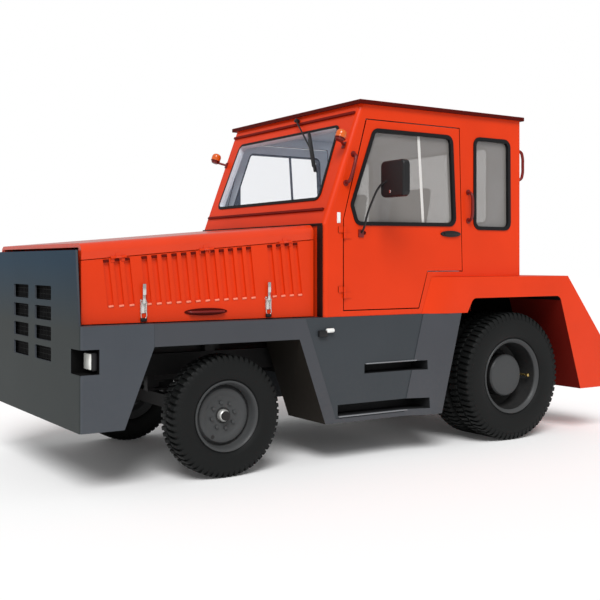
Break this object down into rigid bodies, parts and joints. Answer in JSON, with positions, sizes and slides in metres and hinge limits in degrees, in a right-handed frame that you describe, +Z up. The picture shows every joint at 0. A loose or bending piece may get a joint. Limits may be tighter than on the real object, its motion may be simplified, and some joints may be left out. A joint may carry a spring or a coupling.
{
  "type": "airport tow tractor",
  "caption": "Airport tow tractor with louvred side-opening bonnet, glazed two-seat cab, steered front wheels, twin rear wheels and a rear tow hitch.",
  "frame": {"origin": "on the ground under the middle of the tractor", "axes": "+Z up, -Y towards the nose, +X to the driver's left"},
  "size_m": [2.5, 4.6, 2.475],
  "materials": {
    "orange_paint": "semi-gloss enamel",
    "grey_paint": "semi-gloss enamel",
    "chassis_black": "satin",
    "cast_iron": "painted casting",
    "black_plastic": "grained",
    "rubber_seal": "matte",
    "window_glass": "clear",
    "latch_metal": "bright plated",
    "lamp_lens": "clear ribbed lens",
    "amber_lens": "translucent",
    "red_lens": "translucent",
    "handle_red": "gloss",
    "seat_leather": "grained",
    "tyre": "matte",
    "rim_grey": "semi-gloss enamel"
  },
  "bodies": {
    "chassis": {"frame_rails": "chassis_black", "nose": "grey_paint", "radiator": "chassis_black", "headlamps": "lamp_lens", "bonnet_top": "orange_paint", "engine": "cast_iron", "skirt_left": "grey_paint", "skirt_right": "grey_paint", "cab_floor": "chassis_black", "cab_front": "orange_paint", "cab_side_left": "orange_paint", "cab_side_right": "orange_paint", "cab_rear": "orange_paint", "cab_roof": "orange_paint", "cab_glass": "window_glass", "cab_seals": "rubber_seal", "dashboard": "black_plastic", "seats": "seat_leather", "fender_left": "orange_paint", "fender_right": "orange_paint", "rear_deck": "orange_paint", "hitch": "chassis_black", "turn_lamps": "amber_lens", "tail_lamps": "red_lens", "grab_handles": "handle_red", "wiper": "black_plastic", "front_axle": "chassis_black", "rear_axle": "chassis_black"},
    "bonnet_left": {"bonnet_left": "orange_paint", "latches_left": "latch_metal"},
    "bonnet_right": {"bonnet_right": "orange_paint", "latches_right": "latch_metal"},
    "door_left": {"door_left": "orange_paint", "door_glass_left": "window_glass", "door_trim_left": "black_plastic", "mirror_left": "black_plastic"},
    "door_right": {"door_right": "orange_paint", "door_glass_right": "window_glass", "door_trim_right": "black_plastic", "mirror_right": "black_plastic"},
    "knuckle_left": {"knuckle_left": "chassis_black"},
    "knuckle_right": {"knuckle_right": "chassis_black"},
    "tie_rod": {"tie_rod": "chassis_black"},
    "steering_wheel": {"steering_wheel": "black_plastic"},
    "wheel_front_left": {"tyre_front_left": "tyre", "rim_front_left": "rim_grey"},
    "wheel_front_right": {"tyre_front_right": "tyre", "rim_front_right": "rim_grey"},
    "wheel_rear_left": {"tyres_rear_left": "tyre", "rim_rear_left": "rim_grey"},
    "wheel_rear_right": {"tyres_rear_right": "tyre", "rim_rear_right": "rim_grey"}
  },
  "joints": [
    {"name": "steer_left", "type": "hinge", "parent": "chassis", "child": "knuckle_left", "pos_m": [0.6, -1.325, 0.385], "axis": [0, 0, 1], "range_deg": [-30, 30]},
    {"name": "steer_right", "type": "hinge", "parent": "chassis", "child": "knuckle_right", "pos_m": [-0.6, -1.325, 0.385], "axis": [0, 0, 1], "range_deg": [-30, 30]},
    {"name": "tie_rod_swing", "type": "hinge", "parent": "knuckle_left", "child": "tie_rod", "pos_m": [0.6, -1.155, 0.34], "axis": [0, 0, 1], "range_deg": [-30, 30]},
    {"name": "steering_turn", "type": "hinge", "parent": "chassis", "child": "steering_wheel", "pos_m": [0.39, -0.235, 1.64], "axis": [0, 0.5736, 0.8192], "range_deg": [-360, 360]},
    {"name": "door_left_swing", "type": "hinge", "parent": "chassis", "child": "door_left", "pos_m": [0.881, -0.443, 1.3], "axis": [0, 0, -1], "range_deg": [0, 70]},
    {"name": "door_right_swing", "type": "hinge", "parent": "chassis", "child": "door_right", "pos_m": [-0.881, -0.443, 1.3], "axis": [0, 0, 1], "range_deg": [0, 70]},
    {"name": "bonnet_left_lift", "type": "hinge", "parent": "chassis", "child": "bonnet_left", "pos_m": [0.8085, -1.4525, 1.435], "axis": [0, -0.9963, -0.086], "range_deg": [0, 80]},
    {"name": "bonnet_right_lift", "type": "hinge", "parent": "chassis", "child": "bonnet_right", "pos_m": [-0.8085, -1.4525, 1.435], "axis": [0, 0.9963, 0.086], "range_deg": [0, 80]},
    {"name": "front_left_roll", "type": "hinge", "parent": "knuckle_left", "child": "wheel_front_left", "pos_m": [0.765, -1.325, 0.385], "axis": [1, 0, 0], "continuous": true},
    {"name": "front_right_roll", "type": "hinge", "parent": "knuckle_right", "child": "wheel_front_right", "pos_m": [-0.765, -1.325, 0.385], "axis": [1, 0, 0], "continuous": true},
    {"name": "rear_left_roll", "type": "hinge", "parent": "chassis", "child": "wheel_rear_left", "pos_m": [0.801, 1.125, 0.485], "axis": [1, 0, 0], "continuous": true},
    {"name": "rear_right_roll", "type": "hinge", "parent": "chassis", "child": "wheel_rear_right", "pos_m": [-0.801, 1.125, 0.485], "axis": [1, 0, 0], "continuous": true}
  ],
  "couplings": [
    {"joint": "steer_right", "follows": "steer_left", "ratio": 1},
    {"joint": "tie_rod_swing", "follows": "steer_left", "ratio": -1},
    {"joint": "steering_turn", "follows": "steer_left", "ratio": 12}
  ]
}
